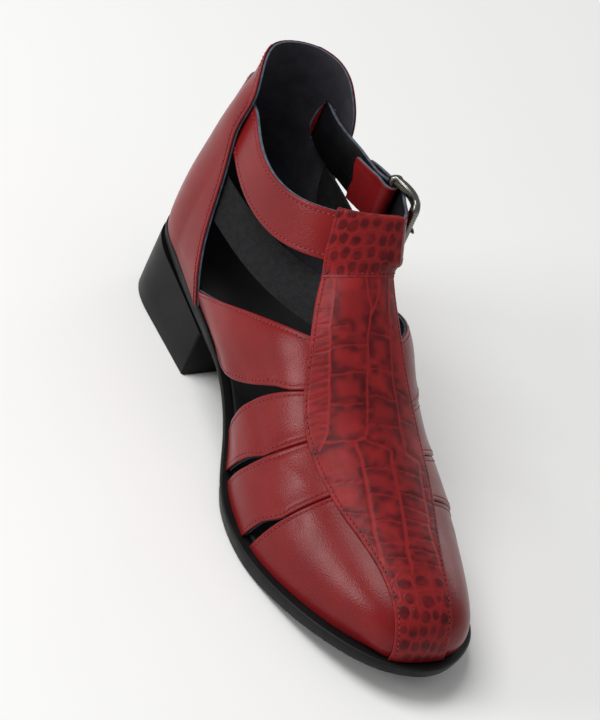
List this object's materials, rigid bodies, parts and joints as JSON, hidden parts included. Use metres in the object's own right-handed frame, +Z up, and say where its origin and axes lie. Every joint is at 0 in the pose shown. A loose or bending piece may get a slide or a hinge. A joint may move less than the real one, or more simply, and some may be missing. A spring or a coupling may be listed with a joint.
{
  "type": "closed-toe cut-out sandal",
  "caption": "Red leather closed-toe sandal with side straps, embossed instep strip, buckled ankle strap and low black block heel.",
  "frame": {"origin": "middle of the shoe's box, on the floor that the sole stands on", "axes": "+Z up from the floor, +Y from toe to heel along the shoe, +X to the outer side of the left foot"},
  "size_m": [0.0926, 0.2632, 0.1338],
  "materials": {
    "sole_black": "satin",
    "heel_black": "satin",
    "lining_black": "matte",
    "red_leather": "satin",
    "embossed_leather": "satin",
    "elastic_black": "matte",
    "buckle_metal": "satin"
  },
  "bodies": {
    "root": {"outsole": "sole_black", "heel": "heel_black", "insole": "lining_black", "upper": "red_leather", "instep_strip": "embossed_leather", "elastic_inner": "elastic_black", "elastic_outer": "elastic_black", "ankle_strap": "red_leather", "heel_loop": "red_leather", "buckle_frame": "buckle_metal", "buckle_prong": "buckle_metal"}
  },
  "joints": []
}
